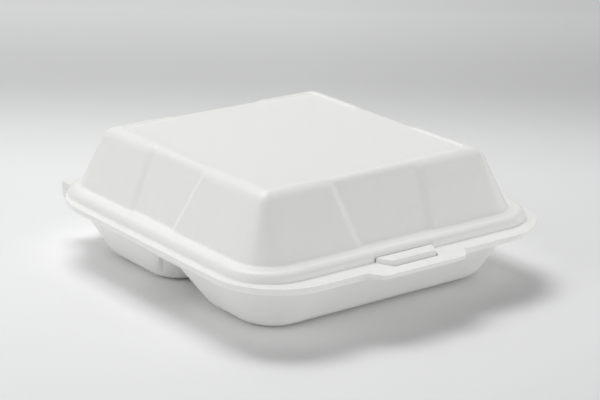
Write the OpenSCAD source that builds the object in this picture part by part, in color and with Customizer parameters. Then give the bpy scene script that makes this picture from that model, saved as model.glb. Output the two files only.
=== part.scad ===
// Hinged foam food container with a tab lock, closed.
// X runs along the front, Y from the front to the hinge, Z up from the table.

/* [Overall] */
// Height of the closed container
height = 76; // [70:0.5:90]
// Thickness of the foam in the walls, floors and top
wall = 2.4; // [1.6:0.1:3]
// Thickness of the pressed flat foam in the two flanges
flange_t = 2; // [1.2:0.1:2.6]
// Height of the lid flange's upper face above the table
rim_z = 35.5; // [32:0.5:40]
// Gap between the closed flanges
seam = 0.2; // [0.1:0.05:0.4]

/* [Lid] */
// Width of the lid wall where it stands on the rolled rim
foot_w = 185; // [170:1:210]
// Depth of the lid wall at the same place
foot_d = 187; // [170:1:210]
// How much further from the middle the back wall stands than the front wall
foot_back_more = 3.5; // [0:0.5:5]
// Corner radius of the lid wall at the same place
foot_corner_r = 20; // [16:1:30]
// Width of the lid's top, to the sharp corner under its rounding
top_w = 155; // [140:1:165]
// Depth of the lid's top, to the sharp corner
top_d = 159; // [140:1:170]
// Corner radius of the lid's top
top_corner_r = 14; // [13:1:22]
// Rounding of the lid's top edge
top_edge_r = 11; // [6:0.5:12]

/* [Rim] */
// Height of the roll that runs round the foot of the lid wall
roll_h = 5.5; // [4:0.5:6.5]
// Width of the roll at the two sides
roll_side = 9; // [8:0.5:12]
// Width of the roll at the back
roll_back = 3.5; // [3:0.5:8]
// Width of the roll at the front
roll_front = 11; // [9:0.5:14]
// Width of the flat flange at the two sides
flange_side = 5; // [4:0.5:8]
// Width of the flat flange at the back
flange_back = 2; // [1.5:0.5:6]
// Width of the flat flange at the front
flange_front = 10.5; // [9:0.5:14]
// Corner radius of the flange
flange_corner_r = 40; // [32:1:41]
// How far the base flange lies inside the edge of the lid flange
rim_tuck = 2; // [1:0.5:3]

/* [Recessed panels] */
// Depth of the panels set into the front and back walls of the lid
panel_front_depth = 2.9; // [2:0.1:5]
// Run of the sloped step at each side of these panels
panel_front_step = 4; // [2:0.5:6]
// Width of the front and back panels at the top
panel_front_top_w = 62; // [50:1:70]
// Width of the front and back panels at the foot
panel_front_foot_w = 52; // [40:1:60]
// Depth of the panels set into the side walls of the lid
panel_side_depth = 2.2; // [1:0.1:4]
// Run of the sloped step at each side of these panels
panel_side_step = 2; // [1.5:0.5:5]
// Width of the side panels at the top
panel_side_top_w = 49; // [40:1:60]
// Width of the side panels at the foot
panel_side_foot_w = 40; // [32:1:50]
// Distance of the side panels' middle behind the middle of the lid
panel_side_y = 7; // [0:0.5:12]

/* [Tab lock] */
// Distance of the lock's middle to the right of the middle of the front
lock_x = -4; // [-8:0.5:8]
// Width of the lid's tab where it leaves the flange
tab_root_w = 67; // [62:1:80]
// Width of the tab's front edge
tab_tip_w = 56; // [52:1:60]
// How far the tab stands out in front of the flange
tab_reach = 8.5; // [6:0.5:11]
// Corner radius of the tab's front edge
tab_corner_r = 3; // [1:0.5:4]
// Width of the slot in the tab
slot_w = 44; // [43:0.5:48]
// How far the slot is cut back into the foot of the roll
slot_back = 1; // [1:0.5:3]
// How far the slot reaches in front of the roll
slot_front = 10.5; // [10:0.5:12]
// Corner radius of the slot
slot_corner_r = 2; // [1:0.5:3]
// Width of the tongue's top at the back
tongue_back_w = 39; // [35:0.5:41]
// Width of the tongue's top at the front
tongue_front_w = 29; // [27:0.5:35]
// Depth of the tongue's top, front to back
tongue_d = 9; // [6:0.5:10]
// Height of the tongue above the lid flange
tongue_rise = 2.8; // [1.5:0.1:4]
// How much wider the tongue's foot is than its top, on each side
tongue_draft = 0.9; // [0.3:0.1:1.2]

/* [Hinge] */
// Length of the hinge strip along the back
hinge_w = 174; // [140:1:178]
// How far the hinge line lies behind the lid flange
hinge_reach = 8; // [6:0.5:10]
// Width of the folded hinge strip, front to back
fold_w = 5.6; // [5:0.1:7]
// Straight drop of the fold before it turns up again
fold_drop = 4.5; // [2:0.5:6]
// Thickness of the hinge strip
hinge_t = 2.2; // [1.2:0.1:2.4]

/* [Base] */
// How far the tray wall lies inside the crease of the rim
tray_inset = 3.5; // [2:0.5:5]
// Corner radius of the tray wall under the flange
tray_corner_r = 36; // [30:1:40]
// Slope of the tray walls away from the vertical, in degrees
tray_draft = 30; // [22:1:32]
// Rounding between the tray walls and the floor
floor_edge_r = 13; // [9:0.5:15]
// Height of the ridge between the compartments
ridge_z = 24; // [20:0.5:26]
// Width of the ridge's crest
ridge_w = 6; // [5.5:0.5:9]
// Distance of the cross ridge in front of the middle of the lid
ridge_front = 9; // [0:0.5:20]
// Width of the ledge round the compartments at the ridge's height
ledge = 0.4; // [0.2:0.1:2]
// Corner radius of a compartment beside a ridge
pocket_corner_r = 11; // [8:0.5:14]
// Corner radius of a compartment's flat floor
floor_corner_r = 9; // [5:0.5:10]

/* [Hidden] */
$fn = 32;
foam = "#f5f5f2";
// How far forms that are joined or cut run past one another
lap = 1;
// Thickness of the thin plates that a hull spans
sheet = 0.02;

seam_top = rim_z - flange_t;
base_rim_z = seam_top - seam;
tray_z = base_rim_z - flange_t;
foot_z = rim_z + roll_h;
// The lid's walls come in threes: the two sides, the front and the back
walls = [0, 1, 2];
half_foot = [foot_w / 2, foot_d / 2, foot_d / 2 + foot_back_more];
half_top = [top_w / 2, top_d / 2, top_d / 2];
// Slope of the walls away from the vertical, in degrees
lid_draft = [for (i = walls) atan((half_foot[i] - half_top[i]) / (height - foot_z))];
panel_depth = [panel_side_depth, panel_front_depth, panel_front_depth];
panel_step = [panel_side_step, panel_front_step, panel_front_step];
panel_foot_w = [panel_side_foot_w, panel_front_foot_w, panel_front_foot_w];
panel_top_w = [panel_side_top_w, panel_front_top_w, panel_front_top_w];

// A plan is [half width, reach to the front, reach to the back, corner radius]
crease = [
    half_foot[0] + roll_side,
    half_foot[1] + roll_front,
    half_foot[2] + roll_back,
    foot_corner_r + roll_side
];
flange = [crease[0] + flange_side, crease[1] + flange_front, crease[2] + flange_back, flange_corner_r];
tray = [crease[0] - tray_inset, crease[1] - tray_inset, crease[2] - tray_inset, tray_corner_r];
front_y = -flange[1] - tab_reach;
hinge_y = flange[2] + hinge_reach;
// The origin is the middle of the footprint, from the tab's edge to the hinge line
middle_y = (front_y + hinge_y) / 2;

function grown(plan, by) = [for (v = plan) v + by];

// Horizontal run of a tray wall from one height down to another
function tray_run(from_z, to_z) = (from_z - to_z) * tan(tray_draft);

// Horizontal run from a wall at from_z to the flat floor, over a rounding of radius r that stands on floor_z
function floor_run(from_z, floor_z, r) =
    (r + (from_z - floor_z - r) * sin(tray_draft)) / cos(tray_draft);

// Plan of the lid wall at height z, with the walls moved in by three depths
function crown_plan(z, moved_in) =
    let (rise = z - foot_z, rise_share = rise / (height - foot_z))
    let (half = [for (i = walls) half_foot[i] - rise * tan(lid_draft[i]) - moved_in[i] / cos(lid_draft[i])])
    let (corner_r = foot_corner_r + (top_corner_r - foot_corner_r) * rise_share)
    [half[0], half[1], half[2], corner_r - max(moved_in)];

// Puts a child at the middle of each corner arc of a plan
module at_corners(plan) {
    for (x = [-1, 1] * (plan[0] - plan[3]), y = [plan[3] - plan[1], plan[2] - plan[3]])
        translate([x, y]) children();
}

// A disc of height edge_r with its upper edge rounded by edge_r
module domed_disc(r, edge_r) {
    rotate_extrude() {
        square([r - edge_r, edge_r]);
        translate([r - edge_r, 0]) intersection() {
            circle(edge_r);
            square(edge_r);
        }
    }
}

// A flat plate with rounded corners that stands on z
module plate(plan, z, thick) {
    translate([0, 0, z]) hull() at_corners(plan) cylinder(r = plan[3], h = thick);
}

// The drafted block of the lid, with a rounded top edge. Its walls can be set back from their own faces.
module crown_block(inset, set_back) {
    edge_r = top_edge_r - inset;
    moved_in = [for (depth = set_back) inset + depth];
    roof = crown_plan(height - inset, moved_in);
    // The rounding touches the sloped wall and the flat top
    reach = [for (i = walls) roof[i] + edge_r - edge_r * (1 - sin(lid_draft[i])) / cos(lid_draft[i])];
    roof_arc = [reach[0], reach[1], reach[2], max(roof[3], edge_r + lap)];
    foot = crown_plan(foot_z - inset - lap, moved_in);
    hull() {
        translate([0, 0, foot_z - inset - lap]) at_corners(foot) cylinder(r = foot[3], h = sheet);
        translate([0, 0, height - inset - edge_r]) at_corners(roof_arc) domed_disc(roof_arc[3], edge_r);
    }
}

// Outline of a panel's cut at one height: v = 0 is the wall's face, and the steps slope up to it.
// The cut runs past the panel's face, which is the wall of the block behind it.
module panel_outline(w, depth, step, inset) {
    step_share = step / depth;
    half_w = w / 2 + inset * norm([step, depth]) / depth;
    deep = -depth - inset - lap;
    deep_half_w = half_w + (deep + depth) * step_share;
    face_half_w = half_w + (lap + depth) * step_share;
    polygon([[-deep_half_w, deep], [deep_half_w, deep], [face_half_w, lap], [-face_half_w, lap]]);
}

// The cut of one panel in a wall that faces -Y: it runs through the foot and through the top edge
module panel_cut(side, inset) {
    low = foot_z - wall - lap - lap;
    high = height + lap;
    // Level sections of the sloped wall
    section = [panel_depth[side], panel_step[side], inset] / cos(lid_draft[side]);
    hull() for (z = [low, high]) {
        rise_share = (z - foot_z) / (height - foot_z);
        w = panel_foot_w[side] + (panel_top_w[side] - panel_foot_w[side]) * rise_share;
        face = half_foot[side] - (z - foot_z) * tan(lid_draft[side]);
        translate([0, -face, z]) linear_extrude(sheet)
            rotate(180) panel_outline(w, section[0], section[1], section[2]);
    }
}

// The four panel cuts, one in each wall
module panel_cuts(inset) {
    panel_cut(1, inset);
    rotate(180) panel_cut(2, inset);
    translate([0, panel_side_y]) for (turn = [90, -90]) rotate(turn) panel_cut(0, inset);
}

// The lid's walls and top: a block with a gap for each panel, round a smaller block that fills the gaps
module crown(inset) {
    difference() {
        crown_block(inset, [0, 0, 0]);
        panel_cuts(inset);
    }
    crown_block(inset, panel_depth);
}

// The rolled rim: a low block with a quarter-round edge all round
module roll(inset) {
    plan = grown(crease, -inset);
    edge_r = roll_h - inset;
    hull() {
        translate([0, 0, rim_z]) at_corners(plan) domed_disc(plan[3], edge_r);
        translate([0, 0, seam_top - (inset > 0 ? lap : 0)]) at_corners(plan) cylinder(r = plan[3], h = sheet);
    }
}

// Outline of a tab in front of a flange
module tab_outline(edge_y, root_w, tip_w, reach) {
    hull() {
        translate([-root_w / 2, -edge_y]) square([root_w, lap]);
        for (x = [-1, 1] * (tip_w / 2 - tab_corner_r))
            translate([x, tab_corner_r - edge_y - reach]) circle(tab_corner_r);
    }
}

module slot_outline() {
    back_y = slot_back - crease[1] - slot_corner_r;
    front_edge_y = slot_corner_r - crease[1] - slot_front;
    hull() for (x = [-1, 1] * (slot_w / 2 - slot_corner_r), y = [front_edge_y, back_y])
        translate([x, y]) circle(slot_corner_r);
}

// A flat strip along the back, level with a flange
module hinge_leaf(from_y, z, to_y) {
    translate([-hinge_w / 2, from_y, z]) cube([hinge_w, to_y - from_y, flange_t]);
}

// Shell of the lid with its roll, flange, tab, slot and hinge leaf
module lid() {
    color(foam) translate([0, -middle_y]) difference() {
        union() {
            crown(0);
            roll(0);
            plate(flange, seam_top, flange_t);
            translate([lock_x, 0, seam_top]) linear_extrude(flange_t)
                tab_outline(flange[1], tab_root_w, tab_tip_w, tab_reach);
            hinge_leaf(half_foot[2], seam_top, hinge_y);
        }
        roll(wall);
        crown(wall);
        translate([lock_x, 0, seam_top - lap]) linear_extrude(flange_t + roll_h + lap) slot_outline();
    }
}

// One compartment: a drafted block with a rounded bottom edge, from the ridge's height to the floor.
// x and y are its two edges at the ridge's height, and radii its corners there.
module pocket(x, y, radii, inset) {
    edge_r = floor_edge_r - inset;
    side = inset / cos(tray_draft);
    run = floor_run(ridge_z, inset, edge_r) + side;
    hull() for (i = [0, 1], j = [0, 1]) {
        sx = 2 * i - 1;
        sy = 2 * j - 1;
        r = radii[i][j] - inset;
        translate([x[i] - sx * (side + r), y[j] - sy * (side + r), ridge_z]) cylinder(r = r, h = sheet);
        translate([x[i] - sx * (run + floor_corner_r), y[j] - sy * (run + floor_corner_r), inset + edge_r])
            mirror([0, 0, 1]) domed_disc(floor_corner_r + edge_r, edge_r);
    }
}

// The three compartments: one along the front and two behind it
module pockets(inset) {
    edge = grown(tray, -tray_run(tray_z, ridge_z) - ledge);
    outer_r = edge[3];
    half_ridge = (ridge_w - 2 * wall / cos(tray_draft)) / 2;
    ridge_y = -ridge_front;
    in_r = pocket_corner_r;
    pocket([-edge[0], edge[0]], [-edge[1], ridge_y - half_ridge], [[outer_r, in_r], [outer_r, in_r]], inset);
    pocket([-edge[0], -half_ridge], [ridge_y + half_ridge, edge[2]], [[in_r, outer_r], [in_r, in_r]], inset);
    pocket([half_ridge, edge[0]], [ridge_y + half_ridge, edge[2]], [[in_r, in_r], [in_r, outer_r]], inset);
}

// The upper part of the tray, above the ridges
module tray_top(inset) {
    side = inset / cos(tray_draft);
    top_z = inset > 0 ? base_rim_z + lap : tray_z + flange_t / 2;
    top_plan = grown(tray, -tray_run(tray_z, top_z) - side);
    low_z = inset > 0 ? ridge_z : ridge_z - wall;
    low_plan = grown(tray, -tray_run(tray_z, low_z) - side);
    hull() {
        translate([0, 0, low_z]) at_corners(low_plan) cylinder(r = low_plan[3], h = sheet);
        translate([0, 0, top_z]) at_corners(top_plan) cylinder(r = top_plan[3], h = sheet);
    }
}

// The tongue that stands up through the slot
module tongue(inset) {
    half_back = tongue_back_w / 2;
    half_front = tongue_front_w / 2;
    back_y = -crease[1];
    tip_y = back_y - tongue_d;
    top_outline = [[-half_back, back_y], [-half_front, tip_y], [half_front, tip_y], [half_back, back_y]];
    low_z = inset > 0 ? tray_z - lap : base_rim_z - flange_t / 2;
    hull() for (level = [[rim_z + tongue_rise - inset, 0], [low_z, tongue_draft]])
        translate([lock_x, 0, level[0] - sheet]) linear_extrude(sheet)
            offset(delta = level[1] - inset) polygon(top_outline);
}

// The hinge strip, which hangs as a fold at the end of the base flange's leaf
module hinge_fold() {
    r = fold_w / 2;
    translate([-hinge_w / 2, hinge_y - r, base_rim_z]) rotate([90, 0, 90]) linear_extrude(hinge_w)
        difference() {
            union() {
                translate([0, -fold_drop]) circle(r);
                translate([-r, -fold_drop]) square([fold_w, fold_drop]);
            }
            translate([0, -fold_drop]) circle(r - hinge_t);
            translate([hinge_t - r, -fold_drop]) square([fold_w - 2 * hinge_t, fold_drop + lap]);
        }
}

// Tray of the base with its compartments, flange, tongue and hinge fold
module base() {
    rim = grown(flange, -rim_tuck);
    tab_w = [tab_root_w, tab_tip_w] - [2, 2] * rim_tuck;
    color(foam) translate([0, -middle_y]) difference() {
        union() {
            tray_top(0);
            pockets(0);
            plate(rim, tray_z, flange_t);
            translate([lock_x, 0, tray_z]) linear_extrude(flange_t)
                tab_outline(rim[1], tab_w[0], tab_w[1], tab_reach - rim_tuck);
            tongue(0);
            hinge_leaf(half_foot[2], tray_z, hinge_y - fold_w + hinge_t / 2);
            hinge_fold();
        }
        tray_top(wall);
        pockets(wall);
        tongue(wall);
    }
}

base();
lid();
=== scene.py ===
# %% [markdown]
# # A hinged foam food container
#
# The object is one sheet of white polystyrene foam, heated and pressed between two moulds.
# The lid and the tray are two halves of that sheet, joined by a thin strip along the back.
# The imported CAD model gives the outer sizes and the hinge. This script dresses it: it makes the
# soft, rounded skin of the foam, gives it a finish, and puts it in a plain studio.

# %% Load the frame
import math

import bmesh
import bpy
from mathutils import Matrix, Vector


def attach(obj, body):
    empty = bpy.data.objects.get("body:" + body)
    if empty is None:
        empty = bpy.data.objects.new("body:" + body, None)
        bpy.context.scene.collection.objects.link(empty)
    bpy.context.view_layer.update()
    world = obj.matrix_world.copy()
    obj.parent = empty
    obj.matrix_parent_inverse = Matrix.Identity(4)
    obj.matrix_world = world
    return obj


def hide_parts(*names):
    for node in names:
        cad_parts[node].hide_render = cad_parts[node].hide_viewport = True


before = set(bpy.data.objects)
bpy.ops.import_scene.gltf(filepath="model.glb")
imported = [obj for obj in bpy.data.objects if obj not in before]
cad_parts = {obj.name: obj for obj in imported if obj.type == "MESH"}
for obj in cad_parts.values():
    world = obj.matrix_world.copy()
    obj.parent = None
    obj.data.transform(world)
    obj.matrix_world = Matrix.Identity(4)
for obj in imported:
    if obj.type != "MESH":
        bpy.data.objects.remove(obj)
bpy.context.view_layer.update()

MM = 0.001

# %% [markdown]
# ## Camera
#
# The photograph was taken from the front left, a little above the lid, with a long lens. A long
# lens keeps the far edges almost parallel to the near ones. The camera is turned by its three
# axes, so that its slight lean to one side can be given as one angle.

# %% Camera
CAMERA_AT = Vector((-0.6259, -0.8157, 0.3763))
LOOKS_AT = Vector((0.0132, 0.0159, 0.0324))
CAMERA_LEAN = math.radians(1.0)
LENS_MM = 113.59
SENSOR_MM = 36.0

camera_data = bpy.data.cameras.new("camera")
camera_data.lens = LENS_MM
camera_data.sensor_width = SENSOR_MM
camera = bpy.data.objects.new("camera", camera_data)
bpy.context.scene.collection.objects.link(camera)
level = (LOOKS_AT - CAMERA_AT).to_track_quat("-Z", "Y").to_matrix().to_4x4()
camera.matrix_world = Matrix.Translation(CAMERA_AT) @ level @ Matrix.Rotation(CAMERA_LEAN, 4, "Z")
bpy.context.scene.camera = camera
print("camera distance in mm:", round((LOOKS_AT - CAMERA_AT).length / MM))

# %% [markdown]
# ## Sizes
#
# Most sizes are those of the CAD source. The crown, its panels, the slot and the corners of the
# compartments were fitted to the photograph again and differ by a few millimetres. A plan is a
# rectangle with round corners, given as half its width, its reach to the front, its reach to the
# back and its corner radius. The plans are drawn round the middle of the lid, which lies a little
# behind the middle of the footprint.

# %% Sizes
SIDE, FRONT_WALL, BACK_WALL, CORNER = range(4)
HEIGHT = 76 * MM
WALL = 2.4 * MM
FLANGE_T = 2 * MM
RIM_Z = 35.5 * MM
FOOT_Z = 41 * MM
BASE_RIM_Z = 33.3 * MM
LID_MIDDLE_Y = 6.5 * MM
HINGE_Y = 110.5 * MM
HINGE_HALF_W = 87 * MM
LOCK_X = -4 * MM
TINY = 0.01 * MM


def plan(half_width, front, back, corner):
    """A rounded rectangle, written in millimetres and kept in metres."""
    return [half_width * MM, front * MM, back * MM, corner * MM]


def grown(outline, by):
    """The same outline, moved out by a distance on every side."""
    return [value + by for value in outline]


LID_FLANGE = plan(106.5, 115, 102.5, 40)
CREASE = plan(101.5, 104.5, 100.5, 29)
FOOT = plan(92.5, 93.5, 94.8, 20)
TOP = plan(75.8, 77.3, 77, 3)
FIELD = plan(69.7, 71.2, 71, 3)
BASE_FLANGE = plan(104.5, 113, 100.5, 38)
print("lid flange in mm:", round(2 * LID_FLANGE[SIDE] / MM), "wide")

# %% [markdown]
# ## Working with loops
#
# Almost every form here is a stack of rounded rectangles. A rectangle starts as a one-face grid
# and gets its round corners from a vertex bevel. Two such loops with the same number of points
# are joined by a bridge, and a sharp edge becomes soft by an edge bevel. This keeps the mesh in
# clean rows of four-sided faces, which shade well.

# %% Loop helpers
CORNER_STEPS = 12


def unit_square(bm):
    """One square face round the origin, with sides of one."""
    return bmesh.ops.create_grid(bm, x_segments=1, y_segments=1, size=0.5)["verts"]


def round_corners(bm, verts, radius, steps):
    """Rounds the corners of flat faces and gives back the new points."""
    return bmesh.ops.bevel(
        bm, geom=verts, offset=radius, offset_type="OFFSET", segments=steps, profile=0.5,
        affect="VERTICES", material=-1, clamp_overlap=False)["verts"]


def soften(bm, edges, radius, steps):
    """Rounds sharp edges."""
    bmesh.ops.bevel(
        bm, geom=edges, offset=radius, offset_type="OFFSET", segments=steps, profile=0.5,
        affect="EDGES", material=-1, clamp_overlap=False, loop_slide=True)


def rounded_plate(bm, outline, z, corners=None):
    """One flat face at height z.

    corners gives four radii: front left, front right, back left, back right."""
    half_width, front, back, radius = outline
    verts = unit_square(bm)
    bmesh.ops.scale(bm, vec=(2 * half_width, front + back, 1), verts=verts)
    bmesh.ops.translate(bm, vec=(0, (back - front) / 2, z), verts=verts)
    for vert, corner in zip(verts, corners or [radius] * 4):
        rounded = round_corners(bm, [vert], corner, CORNER_STEPS)
    return rounded[0].link_faces[0]


def loop_of(bm, face):
    """Takes a face away and leaves the loop of its edges."""
    edges = list(face.edges)
    bmesh.ops.delete(bm, geom=[face], context="FACES_ONLY")
    return edges


def bridge(bm, lower, upper):
    """Joins two loops by a band of faces."""
    bmesh.ops.bridge_loops(bm, edges=lower + upper)


def extrude_rim(bm, edges):
    """Grows a band out of open edges and gives back the points of its new rim."""
    made = bmesh.ops.extrude_edge_only(bm, edges=edges)["geom"]
    return [part for part in made if isinstance(part, bmesh.types.BMVert)]


def face_up(bm, face):
    """Turns all faces to the same side of the sheet, so that the given face looks up."""
    bmesh.ops.recalc_face_normals(bm, faces=bm.faces[:])
    if face.normal.z < 0:
        bmesh.ops.reverse_faces(bm, faces=bm.faces[:])


print("corner steps:", CORNER_STEPS)

# %% [markdown]
# Some steps work on a part of the mesh only. The next helpers find faces and edges by their place
# and their direction, and draw straight lines across chosen faces. A face counts as straight when
# its normal hardly turns to the side.

# %% Finding and cutting
STRAIGHT = 0.01


def cut(bm, faces, point, normal):
    """Draws a straight line of new edges across some faces only."""
    edges = list(dict.fromkeys(e for f in faces for e in f.edges))
    verts = list(dict.fromkeys(v for f in faces for v in f.verts))
    bmesh.ops.bisect_plane(
        bm, geom=list(faces) + edges + verts, dist=TINY / 10, plane_co=point, plane_no=normal)


def faces_where(bm, test):
    """The faces whose middle and normal pass a test."""
    bm.normal_update()
    return [f for f in bm.faces if test(f.calc_center_median(), f.normal)]


def edges_where(bm, test):
    """The edges that pass a test, which is given their middle too."""
    return [e for e in bm.edges if test((e.verts[0].co + e.verts[1].co) / 2, e)]


def at_height(edge, z):
    """Whether both ends of an edge lie at height z."""
    return all(abs(v.co.z - z) < TINY for v in edge.verts)


print("largest turn of a straight face:", STRAIGHT)

# %% [markdown]
# ## Lid: roll and flange
#
# From the outside in, the lid is a flat flange, a convex roll, a sloped wall and a flat top. The
# loops below are the sharp corners of the section up to the foot of the wall. The roll's shoulder
# and the crease at its foot are rounded later by bevels, because a bevel keeps the radius even
# round the corners of the plan.

# %% Roll and flange
ROLL_LEAN = 0.8 * MM

lid_mesh = bmesh.new()
flange_loop = loop_of(lid_mesh, rounded_plate(lid_mesh, LID_FLANGE, RIM_Z))
crease_loop = loop_of(lid_mesh, rounded_plate(lid_mesh, CREASE, RIM_Z))
shoulder_loop = loop_of(lid_mesh, rounded_plate(lid_mesh, grown(CREASE, -ROLL_LEAN), FOOT_Z))
foot_loop = loop_of(lid_mesh, rounded_plate(lid_mesh, FOOT, FOOT_Z))
lid_loops = [flange_loop, crease_loop, shoulder_loop, foot_loop]
print("loops up to the foot of the wall:", len(lid_loops))

# %% [markdown]
# ## Lid: wall and soft top edge
#
# The walls lean in, and their corners are cones: wide at the foot and almost sharp at the top. A
# soft bend leads from the wall to the border of the top, and inside that border the top is a flat
# field that lies a little lower. The bend is a row of loops at chosen heights. How far each wall
# reaches out at a height is one small function, which the panels use again.

# %% Shape of the wall
TOP_BEND = 9.7 * MM
TOP_STEPS = 8


def slope_of(side):
    """How far a wall leans in, as an angle from the vertical."""
    return math.atan((FOOT[side] - TOP[side]) / (HEIGHT - FOOT_Z))


def wall_reach(side, z, set_back=0.0):
    """How far a wall reaches out at a height.

    It is a straight slope and then a bend to the border of the field."""
    slope = slope_of(side)
    bend = (TOP[side] - FIELD[side] - set_back) * math.cos(slope) / (1 - math.sin(slope))
    below = HEIGHT - z
    if below > bend * (1 - math.sin(slope)):
        return TOP[side] - set_back + below * math.tan(slope)
    return FIELD[side] + math.sqrt(bend ** 2 - (bend - below) ** 2)


def crown_plan(z):
    """The outline of the crown at a height. Its corners get tighter towards the top."""
    share = (z - FOOT_Z) / (HEIGHT - FOOT_Z)
    corner = FOOT[CORNER] + (TOP[CORNER] - FOOT[CORNER]) * share
    return [wall_reach(side, z) for side in (SIDE, FRONT_WALL, BACK_WALL)] + [corner]


lean_angles = [round(math.degrees(slope_of(side)), 1) for side in (SIDE, FRONT_WALL)]
print("side and front wall lean in by degrees:", lean_angles)

# %% Wall and top edge
FIELD_SINK = 0.8 * MM
FIELD_SLOPE = 1.6 * MM
ROLL_ROUND, ROLL_STEPS = 3.8 * MM, 6
CREASE_ROUND, CREASE_STEPS = 0.7 * MM, 2

full_turn = math.pi / 2 - slope_of(FRONT_WALL)
for step in range(TOP_STEPS, 0, -1):
    z = HEIGHT - TOP_BEND * (1 - math.cos(full_turn * step / TOP_STEPS))
    lid_loops.append(loop_of(lid_mesh, rounded_plate(lid_mesh, crown_plan(z), z)))
top_face = rounded_plate(lid_mesh, FIELD, HEIGHT)
lid_loops.append(list(top_face.edges))
for lower, upper in zip(lid_loops, lid_loops[1:]):
    bridge(lid_mesh, lower, upper)
face_up(lid_mesh, top_face)
border = list(top_face.edges)
bmesh.ops.inset_region(
    lid_mesh, faces=[top_face], thickness=FIELD_SLOPE, depth=-FIELD_SINK, use_even_offset=True)
for edge in border + list(top_face.edges):
    edge.smooth = False
soften(lid_mesh, shoulder_loop, ROLL_ROUND, ROLL_STEPS)
soften(lid_mesh, crease_loop, CREASE_ROUND, CREASE_STEPS)
print("loops:", len(lid_loops), "faces:", len(lid_mesh.faces))

# %% [markdown]
# ## Lid: recessed panels
#
# Each wall has one panel that is set back between two sloped steps and flares towards the top.
# The panels stiffen the wall. Four lines are cut across the wall and the bend above it: the outer
# two stay, and what lies inside the inner two moves back. The panel has a tighter bend of its own,
# which ends at the straight border of the top and at the level of the field, so that the raised
# crest of the border breaks off at every panel, as it does on the real lid.

# %% Panel helper
PANEL_DEPTH = (1.6 * MM, 1.8 * MM, 1.8 * MM)
PANEL_STEP = (3.2 * MM, 4.3 * MM, 4.3 * MM)
PANEL_FOOT_W = (38.2 * MM, 45.2 * MM, 45.2 * MM)
PANEL_TOP_W = (49 * MM, 57.6 * MM, 57.6 * MM)
WALL_TURN = 0.02
UP = Vector((0, 0, 1))


def sink_panel(bm, outward, side, foot_middle, top_middle):
    """Sets the middle of one wall back and tells how many points moved."""
    outward = Vector(outward)
    along = Vector((-outward.y, outward.x, 0))
    slope = slope_of(side)
    set_back = PANEL_DEPTH[side] / math.cos(slope)
    wall_normal = outward * math.cos(slope) + UP * math.sin(slope)
    inner_lines = []
    for sign in (-1, 1):
        for extra in (PANEL_STEP[side], 0):
            at_foot = foot_middle + sign * (PANEL_FOOT_W[side] / 2 + extra)
            at_top = top_middle + sign * (PANEL_TOP_W[side] / 2 + extra)
            low = outward * FOOT[side] + along * at_foot + UP * FOOT_Z
            high = outward * TOP[side] + along * at_top + UP * HEIGHT
            line_normal = sign * (high - low).cross(wall_normal)
            wall = faces_where(bm, lambda at, n: (
                at.z > FOOT_Z + MM and abs(n.dot(along)) < WALL_TURN
                and at.dot(outward) > FIELD[side] - FIELD_SLOPE))
            cut(bm, wall, low, line_normal)
        inner_lines.append((low, line_normal.normalized()))
    moved = 0
    for vert in bm.verts:
        reach = vert.co.dot(outward)
        on_panel = all((vert.co - point).dot(normal) < TINY for point, normal in inner_lines)
        on_wall = vert.co.z > FOOT_Z - TINY and FIELD[side] - TINY < reach < FOOT[side] + TINY
        if on_panel and on_wall:
            vert.co += outward * (wall_reach(side, vert.co.z, set_back) - reach)
            past_border = vert.co.dot(outward) - FIELD[side]
            vert.co.z -= FIELD_SINK * max(0, 1 - past_border / TOP_BEND)
            moved += 1
    return moved


print("panel depths in mm:", [round(depth / MM, 1) for depth in PANEL_DEPTH])

# %% Panels
SIDE_FOOT_Y, SIDE_TOP_Y = 6.1 * MM, 1.7 * MM
FRONT_FOOT_X, FRONT_TOP_X = 0.1 * MM, -1.2 * MM
PANELS = (
    ((0, -1, 0), FRONT_WALL, FRONT_FOOT_X, FRONT_TOP_X),
    ((0, 1, 0), BACK_WALL, -FRONT_FOOT_X, -FRONT_TOP_X),
    ((-1, 0, 0), SIDE, -SIDE_FOOT_Y, -SIDE_TOP_Y),
    ((1, 0, 0), SIDE, SIDE_FOOT_Y, SIDE_TOP_Y))

for panel in PANELS:
    print("panel points moved:", sink_panel(lid_mesh, *panel))

# %% [markdown]
# ## Lid: soft edges and lean
#
# Foam that is pressed over a mould has no sharp edges. The steps of the panels are found by the
# angle between their faces, and the foot of the wall by its height, and both get a small bevel.
# Then the crown is sheared a little, because in the photograph the top sits slightly to the left.
# A shear keeps the foot of the wall where it is.

# %% Soft edges of the panels and the foot
STEP_ROUND, STEP_ANGLE = 1.3 * MM, math.radians(12)
FOOT_ROUND = 1 * MM
SOFT_STEPS = 3


def is_step(at, edge):
    """Whether an edge runs up the wall and is bent enough to belong to a panel's step."""
    upright = FOOT_Z + MM < at.z < HEIGHT - STEP_ROUND and not at_height(edge, edge.verts[0].co.z)
    return upright and edge.is_manifold and edge.calc_face_angle() > STEP_ANGLE


def is_foot(at, edge):
    """Whether an edge lies at the foot of the wall."""
    return at_height(edge, FOOT_Z) and any(
        f.calc_center_median().z > FOOT_Z + MM for f in edge.link_faces)


lid_mesh.normal_update()
step_edges = edges_where(lid_mesh, is_step)
soften(lid_mesh, step_edges, STEP_ROUND, SOFT_STEPS)
lid_mesh.normal_update()
foot_edges = edges_where(lid_mesh, is_foot)
soften(lid_mesh, foot_edges, FOOT_ROUND, SOFT_STEPS)
print("step edges:", len(step_edges), "foot edges:", len(foot_edges))

# %% Lean of the crown
CROWN_LEAN = 1.3 * MM

for vert in lid_mesh.verts:
    vert.co.x -= CROWN_LEAN * max(0, vert.co.z - FOOT_Z) / (HEIGHT - FOOT_Z)
print("middle of the top in mm:", round(-CROWN_LEAN / MM, 1))

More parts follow.
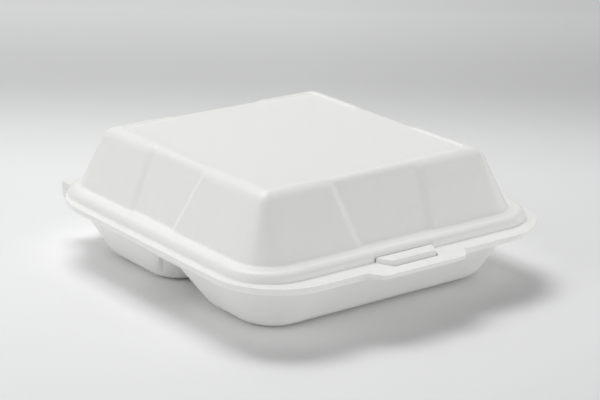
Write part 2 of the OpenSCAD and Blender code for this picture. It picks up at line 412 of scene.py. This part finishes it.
# %% [markdown]
# ## Lid: tab, slot and hinge leaf
#
# The front flange grows into a tab with a slot, and the back flange into a flat leaf that ends at
# the hinge line. Both grow out of the flange's own edge, so the sheet stays in one piece. The slot
# takes away a little of the roll's foot, where the tongue of the tray comes through. Its ends run
# together towards the front, as the ends of the tongue do.

# %% Tab helper
TAB_ROOT_W, TAB_TIP_W, TAB_REACH = 67 * MM, 56 * MM, 8.5 * MM
TAB_CORNER = 3 * MM
TAB_STEPS = 4
FRONT_HALF_W = 60 * MM
ROLL_INSIDE_Y = -94 * MM


def grow_tab(bm, front_y, root_w, tip_w, reach):
    """Grows a tapered tab out of the straight front edge of a flange."""
    front = [e for e in bm.edges if e.is_boundary and all(
        abs(v.co.y - front_y) < TINY and abs(v.co.x - LOCK_X) < root_w / 2 + TINY
        for v in e.verts)]
    tip = extrude_rim(bm, front)
    bmesh.ops.translate(bm, vec=(0, -reach, 0), verts=tip)
    bmesh.ops.scale(
        bm, vec=(tip_w / root_w, 1, 1), space=Matrix.Translation((-LOCK_X, 0, 0)), verts=tip)
    ends = sorted(tip, key=lambda v: v.co.x)
    round_corners(bm, [ends[0], ends[-1]], TAB_CORNER, TAB_STEPS)


def front_strip(bm):
    """The straight faces of the roll and the flange at the front."""
    return faces_where(bm, lambda at, n: (
        at.y < ROLL_INSIDE_Y and at.z < FOOT_Z + TINY
        and abs(n.x) < STRAIGHT and abs(at.x) < FRONT_HALF_W))


print("straight faces at the front:", len(front_strip(lid_mesh)))

# %% Tab and slot
SLOT_BACK_W, SLOT_FRONT_W = 41.2 * MM, 31.2 * MM
SLOT_BACK_Y = -103.4 * MM
SLOT_CORNER = 1.5 * MM


def slot_strip(bm):
    """The straight faces in the middle of the slot and behind it on the roll."""
    places = [(f, f.calc_center_median()) for f in front_strip(bm)]
    return [f for f, at in places
            if abs(at.x - LOCK_X) < SLOT_FRONT_W / 4 and at.y > -LID_FLANGE[FRONT_WALL]]


slot_taper = (SLOT_BACK_W - SLOT_FRONT_W) / 2 / (LID_FLANGE[FRONT_WALL] + SLOT_BACK_Y)
for sign in (-1, 1):
    flange_only = [
        f for f in front_strip(lid_mesh) if f.calc_center_median().y < -CREASE[FRONT_WALL]]
    cut(lid_mesh, flange_only, (LOCK_X + sign * TAB_ROOT_W / 2, 0, 0), (1, 0, 0))
    slot_end = (LOCK_X + sign * SLOT_BACK_W / 2, SLOT_BACK_Y, 0)
    cut(lid_mesh, front_strip(lid_mesh), slot_end, (sign, -slot_taper, 0))
grow_tab(lid_mesh, -LID_FLANGE[FRONT_WALL], TAB_ROOT_W, TAB_TIP_W, TAB_REACH)
cut(lid_mesh, slot_strip(lid_mesh), (0, SLOT_BACK_Y, 0), (0, 1, 0))
slot_corners = [
    v for v in lid_mesh.verts if abs(v.co.y + LID_FLANGE[FRONT_WALL]) < TINY
    and abs(abs(v.co.x - LOCK_X) - SLOT_FRONT_W / 2) < TINY]
round_corners(lid_mesh, slot_corners, SLOT_CORNER, TAB_STEPS)
slot_faces = [f for f in slot_strip(lid_mesh) if f.calc_center_median().y < SLOT_BACK_Y]
bmesh.ops.delete(lid_mesh, geom=slot_faces, context="FACES")
slot_back = [
    e for e in lid_mesh.edges
    if e.is_boundary and all(abs(v.co.y - SLOT_BACK_Y) < TINY for v in e.verts)]
for vert in extrude_rim(lid_mesh, slot_back):
    vert.co.z = RIM_Z - FLANGE_T
print("slot faces cut out:", len(slot_faces), "edges of its back wall:", len(slot_back))

# %% Hinge leaf
BACK_CORNERS_Y = 50 * MM
BACK_EDGE_Y = 90 * MM


def grow_leaf(bm, flange_z):
    """Grows a straight leaf out of the back edge of a flange and tells how many points it has."""
    for sign in (-1, 1):
        flange_back = faces_where(bm, lambda at, n: (
            at.y > BACK_CORNERS_Y and abs(at.z - flange_z) < TINY and n.z > 1 - STRAIGHT))
        cut(bm, flange_back, (sign * HINGE_HALF_W, 0, 0), (1, 0, 0))
    back = [e for e in bm.edges if e.is_boundary and at_height(e, flange_z) and all(
        v.co.y > BACK_EDGE_Y and abs(v.co.x) < HINGE_HALF_W + TINY for v in e.verts)]
    line = extrude_rim(bm, back)
    bmesh.ops.scale(bm, vec=(1, 0, 1), space=Matrix.Translation((0, -HINGE_Y, 0)), verts=line)
    return len(line)


print("points on the hinge line:", grow_leaf(lid_mesh, RIM_Z))

# %% [markdown]
# ## From sheet to foam
#
# The meshes so far are skins without thickness. A Solidify modifier gives the foam its thickness
# on the inner side, thinner in the pressed flanges, and a small Bevel takes the sharpness off the
# cut rims. Weighted normals keep the large flat faces flat between the rounded edges.

# %% Finish helper
RIM_ROUND, RIM_STEPS, RIM_ANGLE = 0.5 * MM, 2, math.radians(50)


def foam_piece(name, bm, thickness_at, node, body):
    """Turns a skin into a piece of foam that stands for a CAD node."""
    bmesh.ops.translate(bm, vec=(0, LID_MIDDLE_Y, 0), verts=bm.verts[:])
    for face in bm.faces:
        face.smooth = True
    mesh = bpy.data.meshes.new(name)
    bm.to_mesh(mesh)
    bm.free()
    piece = bpy.data.objects.new(name, mesh)
    bpy.context.scene.collection.objects.link(piece)
    group = piece.vertex_groups.new(name="thickness")
    for vert in mesh.vertices:
        group.add([vert.index], thickness_at(vert.co), "REPLACE")
    shell = piece.modifiers.new("shell", "SOLIDIFY")
    shell.thickness = WALL
    shell.offset = -1
    shell.use_even_offset = False
    shell.vertex_group = group.name
    rim = piece.modifiers.new("rim", "BEVEL")
    rim.width = RIM_ROUND
    rim.segments = RIM_STEPS
    rim.limit_method = "ANGLE"
    rim.angle_limit = RIM_ANGLE
    flat = piece.modifiers.new("flat", "WEIGHTED_NORMAL")
    flat.keep_sharp = True
    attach(piece, body)
    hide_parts(node)
    print(name, "points in the skin:", len(mesh.vertices))
    return piece


def lid_thickness(at):
    """The share of the wall's thickness that the lid has at a point."""
    return 1.0 if at.z > RIM_Z + MM else FLANGE_T / WALL


lid = foam_piece("foam_lid", lid_mesh, lid_thickness, "lid", "lid")

# %% [markdown]
# ## Tray
#
# The tray is modelled from its upper side: a flat flange, a sloped wall down to the height of the
# ridges, and three compartments below that. The compartments share the tray's wall on the outside,
# so the wall is cut where their round corners leave it, their loops have the same points there,
# and both are merged. What is left between them is the T-shaped crest of the ridges.

# %% Tray loops
RIDGE_Z = 24 * MM
FLOOR_Z = 2.4 * MM
MOUTH = plan(96.38, 99.38, 95.38, 34.4)
LEDGE = plan(91.02, 94.02, 90.02, 29.03)
RIDGE_Y = -9 * MM
HALF_RIDGE = 3 * MM
POCKET_CORNER = 13 * MM


def tray_wall(at):
    """Whether a point lies on the tray's wall, above the ridges."""
    return RIDGE_Z < at.z < BASE_RIM_Z - MM


tray_mesh = bmesh.new()
base_flange_loop = loop_of(tray_mesh, rounded_plate(tray_mesh, BASE_FLANGE, BASE_RIM_Z))
mouth_loop = loop_of(tray_mesh, rounded_plate(tray_mesh, MOUTH, BASE_RIM_Z))
ledge_loop = loop_of(tray_mesh, rounded_plate(tray_mesh, LEDGE, RIDGE_Z))
bridge(tray_mesh, base_flange_loop, mouth_loop)
bridge(tray_mesh, mouth_loop, ledge_loop)
for y in (RIDGE_Y - HALF_RIDGE - POCKET_CORNER, RIDGE_Y + HALF_RIDGE + POCKET_CORNER):
    side_walls = faces_where(tray_mesh, lambda at, n: tray_wall(at) and abs(n.y) < STRAIGHT)
    cut(tray_mesh, side_walls, (0, y, 0), (0, 1, 0))
for x in (-HALF_RIDGE - POCKET_CORNER, HALF_RIDGE + POCKET_CORNER):
    back_wall = faces_where(
        tray_mesh, lambda at, n: tray_wall(at) and abs(n.x) < STRAIGHT and at.y > 0)
    cut(tray_mesh, back_wall, (x, 0, 0), (1, 0, 0))
print("tray wall faces:", len(tray_mesh.faces))

# %% Compartments
FLOOR_RUN = 12.47 * MM
FLOOR_CORNER = 19.5 * MM
BIG, SMALL = LEDGE[CORNER], POCKET_CORNER
LEFT, RIGHT = -LEDGE[SIDE], LEDGE[SIDE]
FRONT, BACK = -LEDGE[FRONT_WALL], LEDGE[BACK_WALL]


def pocket(bm, left, right, front, back, corners):
    """One compartment between four edges at the ridge's height, down to its floor."""
    middle = Vector(((left + right) / 2, (front + back) / 2, 0))
    half_w, half_d = (right - left) / 2, (back - front) / 2
    floor_d = half_d - FLOOR_RUN
    mouth = rounded_plate(bm, [half_w, half_d, half_d, 0], RIDGE_Z, corners)
    floor = rounded_plate(bm, [half_w - FLOOR_RUN, floor_d, floor_d, FLOOR_CORNER], FLOOR_Z)
    bmesh.ops.translate(bm, vec=middle, verts=list(mouth.verts) + list(floor.verts))
    bridge(bm, loop_of(bm, mouth), list(floor.edges))
    return floor


floors = [
    pocket(tray_mesh, LEFT, RIGHT, FRONT, RIDGE_Y - HALF_RIDGE, (BIG, BIG, SMALL, SMALL)),
    pocket(tray_mesh, LEFT, -HALF_RIDGE, RIDGE_Y + HALF_RIDGE, BACK, (SMALL, SMALL, BIG, SMALL)),
    pocket(tray_mesh, HALF_RIDGE, RIGHT, RIDGE_Y + HALF_RIDGE, BACK, (SMALL, SMALL, SMALL, BIG))]
bmesh.ops.remove_doubles(tray_mesh, verts=tray_mesh.verts[:], dist=5 * TINY)
crest_border = [e for e in tray_mesh.edges if e.is_boundary and at_height(e, RIDGE_Z)]
crest = bmesh.ops.edgeloop_fill(tray_mesh, edges=crest_border)["faces"]
face_up(tray_mesh, floors[0])
print("crest faces:", len(crest), "of", len(crest_border), "edges")

# %% [markdown]
# The floors meet the walls in a wide round, which gives the tray its lumps underneath. The mouth
# and the crest get smaller rounds. The crest's edges are left alone close to the outer wall, where
# the crest runs out into it.

# %% Soft edges of the tray
FLOOR_ROUND, FLOOR_STEPS = 6.1 * MM, 6
MOUTH_ROUND = 1.4 * MM
CREST_ROUND, CREST_ANGLE, CREST_MARGIN = 1.7 * MM, 0.5, 2.4 * MM


def is_crest(at, edge):
    """Whether an edge belongs to the crest of a ridge and lies well inside the outer wall."""
    inside = min(at.x - LEFT, RIGHT - at.x, BACK - at.y) > CREST_MARGIN
    return inside and at_height(edge, RIDGE_Z) and edge.calc_face_angle(0) > CREST_ANGLE


soften(tray_mesh, [e for f in floors for e in f.edges], FLOOR_ROUND, FLOOR_STEPS)
soften(tray_mesh, [e for e in mouth_loop if e.is_valid], MOUTH_ROUND, SOFT_STEPS)
crest_edges = edges_where(tray_mesh, is_crest)
soften(tray_mesh, crest_edges, CREST_ROUND, SOFT_STEPS)
print("crest edges rounded:", len(crest_edges))

# %% [markdown]
# ## Tray: tab and tongue
#
# The tray's flange has a tab of its own under the lid's tab, and the tongue stands up from it. A
# hole is cut in the flange, and two rounded outlines, one at the foot and one at the top, are
# bridged to its edge and to one another. So the tongue is hollow from below, as pressed foam is.

# %% Tongue outline
TONGUE_BACK_Y, TONGUE_FRONT_Y = -104.5 * MM, -113.5 * MM
TONGUE_HALF_BACK, TONGUE_HALF_FRONT = 19.5 * MM, 14.5 * MM
TONGUE_CORNER, TONGUE_STEPS = 1.1 * MM, 5


def flange_front(bm):
    """The faces of the tray's flange at the front."""
    return faces_where(bm, lambda at, n: (
        at.y < -MOUTH[FRONT_WALL] - MM and abs(at.z - BASE_RIM_Z) < TINY
        and abs(at.x) < FRONT_HALF_W))


def tongue_outline(bm, z, wider):
    """The tongue's outline at one height, as a face with round corners."""
    verts = unit_square(bm)
    for vert in verts:
        front = vert.co.y < 0
        half = (TONGUE_HALF_FRONT if front else TONGUE_HALF_BACK) + wider
        y = TONGUE_FRONT_Y - wider if front else TONGUE_BACK_Y + wider
        vert.co = (LOCK_X + math.copysign(half, vert.co.x), y, z)
    return round_corners(bm, verts, TONGUE_CORNER + wider, TONGUE_STEPS)[0].link_faces[0]


print("tongue in mm:", round(2 * TONGUE_HALF_BACK / MM), "wide at the back")

# %% Tab and tongue
TUCK = 2 * MM
TONGUE_DRAFT = 0.9 * MM
TONGUE_TOP_Z = 38.3 * MM
TONGUE_TOP_ROUND = 0.7 * MM
HOLE_MARGIN = 0.5 * MM

for sign in (-1, 1):
    tab_end = (LOCK_X + sign * (TAB_ROOT_W / 2 - TUCK), 0, 0)
    cut(tray_mesh, flange_front(tray_mesh), tab_end, (1, 0, 0))
grow_tab(
    tray_mesh, -BASE_FLANGE[FRONT_WALL],
    TAB_ROOT_W - 2 * TUCK, TAB_TIP_W - 2 * TUCK, TAB_REACH - TUCK)
hole_half = TONGUE_HALF_BACK + TONGUE_DRAFT + 2 * HOLE_MARGIN
hole_back = TONGUE_BACK_Y + TONGUE_DRAFT + HOLE_MARGIN
hole_front = TONGUE_FRONT_Y - TONGUE_DRAFT - HOLE_MARGIN
for y in (hole_back, hole_front):
    cut(tray_mesh, flange_front(tray_mesh), (0, y, 0), (0, 1, 0))
for sign in (-1, 1):
    cut(tray_mesh, flange_front(tray_mesh), (LOCK_X + sign * hole_half, 0, 0), (1, 0, 0))
hole_faces = [
    f for f in flange_front(tray_mesh) if hole_front < f.calc_center_median().y < hole_back
    and abs(f.calc_center_median().x - LOCK_X) < hole_half]
hole = [
    e for e in dict.fromkeys(e for f in hole_faces for e in f.edges)
    if sum(f in hole_faces for f in e.link_faces) == 1]
bmesh.ops.delete(tray_mesh, geom=hole_faces, context="FACES")
foot_outline = loop_of(tray_mesh, tongue_outline(tray_mesh, BASE_RIM_Z, TONGUE_DRAFT))
tongue_top = tongue_outline(tray_mesh, TONGUE_TOP_Z, 0)
bridge(tray_mesh, hole, foot_outline)
bridge(tray_mesh, foot_outline, list(tongue_top.edges))
face_up(tray_mesh, tongue_top)
soften(tray_mesh, list(tongue_top.edges), TONGUE_TOP_ROUND, SOFT_STEPS)
print("hole edges:", len(hole), "tongue outline:", len(foot_outline))

# %% [markdown]
# ## Tray: hinge fold
#
# At the back, the sheet runs over into the hinge: a strip that is folded down and up again. Its two
# layers lie flat on one another, so it is made as one bar with a round bottom under the leaf. The
# bar is a closed body in the same mesh, and a thin skin is enough for it.

# %% Hinge fold
FOLD_W, FOLD_STEPS = 5.6 * MM, 6
FOLD_BOTTOM_Z = 26 * MM
FOLD_SKIN = 0.7 * MM

grow_leaf(tray_mesh, BASE_RIM_Z)
fold_top_z = BASE_RIM_Z - FLANGE_T / 2
fold_middle = (0, HINGE_Y - FOLD_W / 2, (fold_top_z + FOLD_BOTTOM_Z) / 2)
fold = bmesh.ops.create_cube(tray_mesh, size=1)["verts"]
bmesh.ops.scale(
    tray_mesh, vec=(2 * HINGE_HALF_W, FOLD_W, fold_top_z - FOLD_BOTTOM_Z), verts=fold)
bmesh.ops.translate(tray_mesh, vec=fold_middle, verts=fold)
fold_edges = edges_where(
    tray_mesh, lambda at, e: at_height(e, FOLD_BOTTOM_Z) and abs(at.x) < TINY)
soften(tray_mesh, fold_edges, FOLD_W / 2 - TINY, FOLD_STEPS)
print("edges of the fold rounded:", len(fold_edges))


def tray_thickness(at):
    """The share of the wall's thickness that the tray has at a point."""
    fold_front_y = HINGE_Y - FOLD_W + LID_MIDDLE_Y
    if at.y > fold_front_y - TINY and at.z < BASE_RIM_Z - TINY:
        return FOLD_SKIN / WALL
    return 1.0 if at.z < BASE_RIM_Z - MM else FLANGE_T / WALL


tray = foam_piece("foam_tray", tray_mesh, tray_thickness, "base", "base")

# %% [markdown]
# ## Foam finish
#
# The skin of pressed foam is white and satin, with a fine pattern of flattened cells and a faint
# unevenness of a few millimetres. The cells are a bump of Voronoi cells of about a millimetre, and
# noise varies the colour and the sheen a little. Constant values sit on the shader itself.

# %% Foam material
FOAM_TINTS = ((0.92, 0.923, 0.9, 1), (0.94, 0.942, 0.92, 1))
FOAM_ROUGHNESS = (0.34, 0.44)
FOAM_IOR = 1.45
MOTTLE_SCALE, MOTTLE_DETAIL = 220.0, 3.0
CELL_SCALE, CELL_STRENGTH, CELL_DEPTH = 900.0, 0.45, 0.2 * MM


def foam_material():
    """White satin foam with a faint mottle and fine cells."""
    material = bpy.data.materials.new("white_foam")
    material.use_nodes = True
    nodes, links = material.node_tree.nodes, material.node_tree.links
    shader = nodes["Principled BSDF"]
    shader.inputs["IOR"].default_value = FOAM_IOR
    shader.inputs["Specular IOR Level"].default_value = 0.5
    place = nodes.new("ShaderNodeTexCoord")
    mottle = nodes.new("ShaderNodeTexNoise")
    mottle.inputs["Scale"].default_value = MOTTLE_SCALE
    mottle.inputs["Detail"].default_value = MOTTLE_DETAIL
    tint = nodes.new("ShaderNodeValToRGB")
    for stop, color in zip(tint.color_ramp.elements, FOAM_TINTS):
        stop.color = color
    sheen = nodes.new("ShaderNodeMapRange")
    sheen.inputs["To Min"].default_value, sheen.inputs["To Max"].default_value = FOAM_ROUGHNESS
    cells = nodes.new("ShaderNodeTexVoronoi")
    cells.feature = "SMOOTH_F1"
    cells.inputs["Scale"].default_value = CELL_SCALE
    bump = nodes.new("ShaderNodeBump")
    bump.inputs["Strength"].default_value = CELL_STRENGTH
    bump.inputs["Distance"].default_value = CELL_DEPTH
    links.new(place.outputs["Object"], mottle.inputs["Vector"])
    links.new(place.outputs["Object"], cells.inputs["Vector"])
    links.new(mottle.outputs["Fac"], tint.inputs["Fac"])
    links.new(mottle.outputs["Fac"], sheen.inputs["Value"])
    links.new(cells.outputs["Distance"], bump.inputs["Height"])
    links.new(tint.outputs["Color"], shader.inputs["Base Color"])
    links.new(sheen.outputs["Result"], shader.inputs["Roughness"])
    links.new(bump.outputs["Normal"], shader.inputs["Normal"])
    return material


white_foam = foam_material()
for piece in (lid, tray):
    piece.data.materials.append(white_foam)
print("finish:", white_foam.name)

# %% [markdown]
# ## Studio floor
#
# In the photograph the ground is near white where the container stands, and greyer further back
# and to the right, where less light reaches it. The floor here is one large square whose colour
# follows two distances: the depth along the camera's first view and the way to the right of it. So
# the grey of the background is mostly painted shade in the floor's colour, and the lamps can be set
# for the foam.

# %% Floor material
DEPTH_FROM, DEPTH_TO = -0.2, 0.7
# The greys along the depth are painted shade that darkens the floor further back.
FLOOR_SHADE_GREYS = (
    (-0.2, 0.885), (-0.05, 0.93), (0.1, 0.93), (0.2, 0.895), (0.3, 0.755), (0.42, 0.605),
    (0.65, 0.695))
FLOOR_RED = 0.995
# The fall to the right is painted shade too.
SIDE_SHADE_FALL, SIDE_SHADE_FALL_OVER = 0.9, 0.24


def floor_painted_shade_material():
    """Near white by the object, with painted shade that greys it further back and to the right."""
    material = bpy.data.materials.new("floor_painted_shade")
    material.use_nodes = True
    nodes, links = material.node_tree.nodes, material.node_tree.links
    shader = nodes["Principled BSDF"]
    shader.inputs["Roughness"].default_value = 0.7
    shader.inputs["Specular IOR Level"].default_value = 0.2
    place = nodes.new("ShaderNodeTexCoord")
    view_way = (LOOKS_AT - CAMERA_AT).to_2d().normalized().to_3d()
    depth, side = [nodes.new("ShaderNodeVectorMath") for _ in range(2)]
    for dot, way in ((depth, view_way), (side, Vector((view_way.y, -view_way.x, 0)))):
        dot.operation = "DOT_PRODUCT"
        dot.inputs[1].default_value = way
        links.new(place.outputs["Object"], dot.inputs[0])
    share = nodes.new("ShaderNodeMapRange")
    share.inputs["From Min"].default_value = DEPTH_FROM
    share.inputs["From Max"].default_value = DEPTH_TO
    # Painted shade along the depth.
    ramp = nodes.new("ShaderNodeValToRGB")
    ramp.color_ramp.interpolation = "CARDINAL"
    stops = ramp.color_ramp.elements
    while len(stops) < len(FLOOR_SHADE_GREYS):
        stops.new(0.5)
    for stop, (at, grey) in zip(stops, FLOOR_SHADE_GREYS):
        stop.position = (at - DEPTH_FROM) / (DEPTH_TO - DEPTH_FROM)
        stop.color = (grey * FLOOR_RED, grey, grey, 1)
    # Painted shade towards the right.
    fall = nodes.new("ShaderNodeMapRange")
    fall.inputs["From Max"].default_value = SIDE_SHADE_FALL_OVER
    fall.inputs["To Min"].default_value = 1.0
    fall.inputs["To Max"].default_value = SIDE_SHADE_FALL
    shade = nodes.new("ShaderNodeVectorMath")
    shade.operation = "SCALE"
    links.new(depth.outputs["Value"], share.inputs["Value"])
    links.new(share.outputs["Result"], ramp.inputs["Fac"])
    links.new(side.outputs["Value"], fall.inputs["Value"])
    links.new(ramp.outputs["Color"], shade.inputs[0])
    links.new(fall.outputs["Result"], shade.inputs["Scale"])
    links.new(shade.outputs["Vector"], shader.inputs["Base Color"])
    return material


print("greys of the floor:", len(FLOOR_SHADE_GREYS))

# %% Floor
FLOOR_HALF = 6.0

floor_bm = bmesh.new()
bmesh.ops.create_grid(floor_bm, x_segments=1, y_segments=1, size=FLOOR_HALF)
floor_mesh = bpy.data.meshes.new("floor")
floor_bm.to_mesh(floor_mesh)
floor_bm.free()
floor_mesh.materials.append(floor_painted_shade_material())
floor = bpy.data.objects.new("floor", floor_mesh)
bpy.context.scene.collection.objects.link(floor)
print("floor in metres:", 2 * FLOOR_HALF)

# %% [markdown]
# ## Studio light
#
# The top of the lid is the brightest part, the left wall comes next, and the front wall is the
# darkest, with soft shadows to the front and to the right. So four soft lamps hang above and behind
# the container, one stands on the left, and two low, wide ones fill the front and the right. A weak
# even light from all round keeps the shadows open.

# %% Lamps
AIM = Vector((0, 0, 0.03))
LAMPS = (
    ("overhead", (0.1, 0.7, 2.0), (1.0, 1.0), 17.4),
    ("over the back", (0.1, 1.3, 1.7), (1.4, 1.4), 5.7),
    ("back right", (1.2, 1.3, 1.3), (1.2, 1.2), 3.0),
    ("key", (-0.35, 0.75, 1.6), (0.6, 0.6), 3.0),
    ("left", (-1.9, 0.1, 0.9), (1.4, 1.4), 12.2),
    ("low right", (1.9, -0.7, 0.36), (1.8, 0.7), 6.8),
    ("low front", (0.6, -1.9, 0.36), (2.2, 0.7), 10.0))
ALL_ROUND = 0.18


def soft_lamp(name, at, size, watts):
    """A square or wide lamp that looks at the container."""
    data = bpy.data.lights.new(name, "AREA")
    data.shape = "RECTANGLE"
    data.size, data.size_y = size
    data.energy = watts
    lamp = bpy.data.objects.new(name, data)
    lamp.location = at
    lamp.rotation_euler = (AIM - Vector(at)).to_track_quat("-Z", "Y").to_euler()
    bpy.context.scene.collection.objects.link(lamp)


for lamp_row in LAMPS:
    soft_lamp(*lamp_row)
world = bpy.data.worlds.new("studio")
bpy.context.scene.world = world
world.use_nodes = True
background = world.node_tree.nodes["Background"]
background.inputs["Color"].default_value = (1, 1, 1, 1)
background.inputs["Strength"].default_value = ALL_ROUND
print("lamps:", len(LAMPS))

# %% [markdown]
# ## Finish
#
# The colours are shown as they are, without a film look.

# %% Finish
bpy.context.scene.view_settings.view_transform = "Standard"
